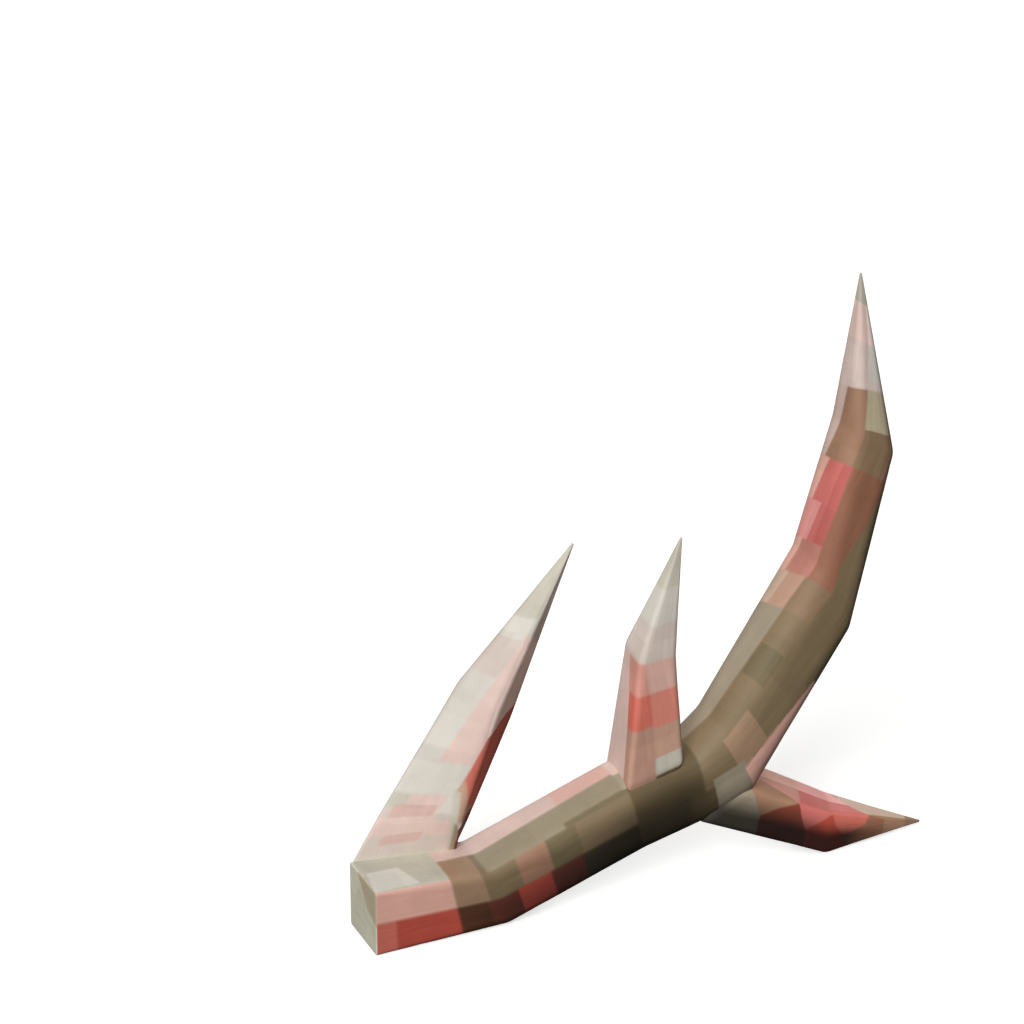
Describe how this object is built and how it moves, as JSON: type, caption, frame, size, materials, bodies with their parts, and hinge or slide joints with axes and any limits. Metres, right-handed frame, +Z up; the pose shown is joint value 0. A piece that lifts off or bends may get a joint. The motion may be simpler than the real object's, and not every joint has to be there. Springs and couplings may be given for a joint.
{
  "type": "antler",
  "caption": "Bent, pointed deer antler with a squarish beam, a square cut base and side tines, standing on its base and its back tine.",
  "frame": {"origin": "middle of the flat under the base of the beam, on which the antler rests", "axes": "+Z up; +X along the start of the beam, from the cut end towards the fork; the beam's curve lies in the XZ plane, and the brow tine leans to +Y"},
  "size_m": [0.3403, 0.0687, 0.3483],
  "materials": {
    "olive_bone": "matte, weathered olive brown antler bone",
    "tan_bone": "matte tan antler bone with pink and red stains",
    "pale_bone": "matte, bleached antler bone",
    "rose_bone": "matte antler bone, stained rose",
    "red_bone": "matte antler bone, stained dark red"
  },
  "bodies": {
    "root": {"lower_beam": "olive_bone", "upper_beam": "tan_bone", "brow_tine": "pale_bone", "middle_tine": "rose_bone", "back_tine": "red_bone"}
  },
  "joints": []
}
